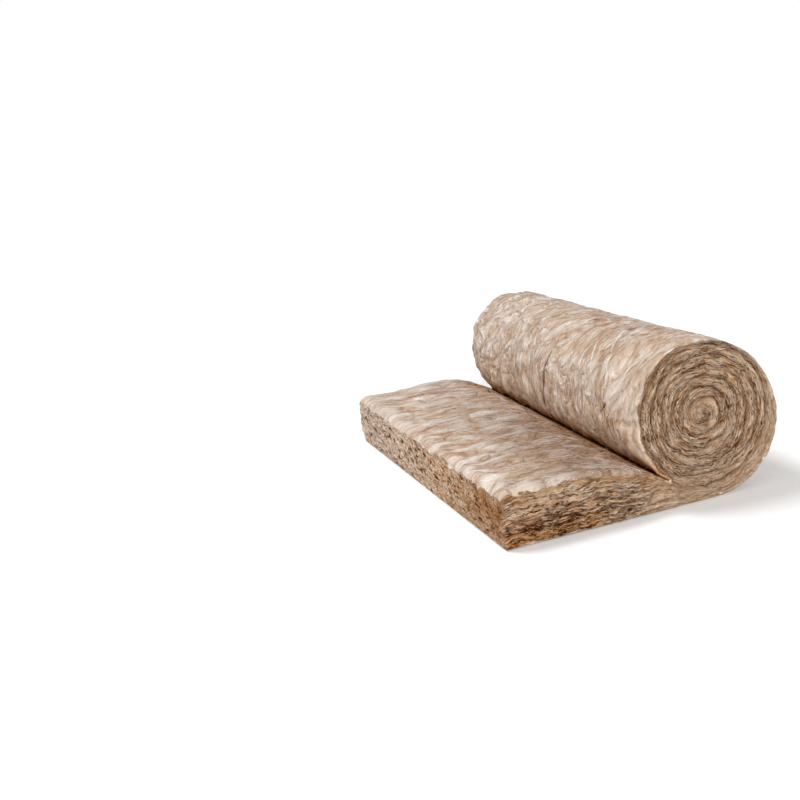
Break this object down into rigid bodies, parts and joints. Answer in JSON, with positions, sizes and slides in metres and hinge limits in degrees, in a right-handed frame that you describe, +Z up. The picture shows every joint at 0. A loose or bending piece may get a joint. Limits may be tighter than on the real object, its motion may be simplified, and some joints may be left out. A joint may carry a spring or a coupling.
{
  "type": "mineral wool insulation roll",
  "caption": "Thermal insulation blanket of glass wool, wound into a roll lying on its side, with the outer end let out flat on the floor.",
  "frame": {"origin": "on the floor, under the middle of the whole blanket's box", "axes": "+X from the free end of the laid-out tail towards the roll, +Y across the blanket along the roll's axis, +Z up from the floor"},
  "size_m": [0.4038, 0.6, 0.203],
  "materials": {
    "glass_wool": "unfaced glass wool, beige-brown, matt and fibrous"
  },
  "bodies": {
    "root": {"wool_blanket": "glass_wool"}
  },
  "joints": []
}
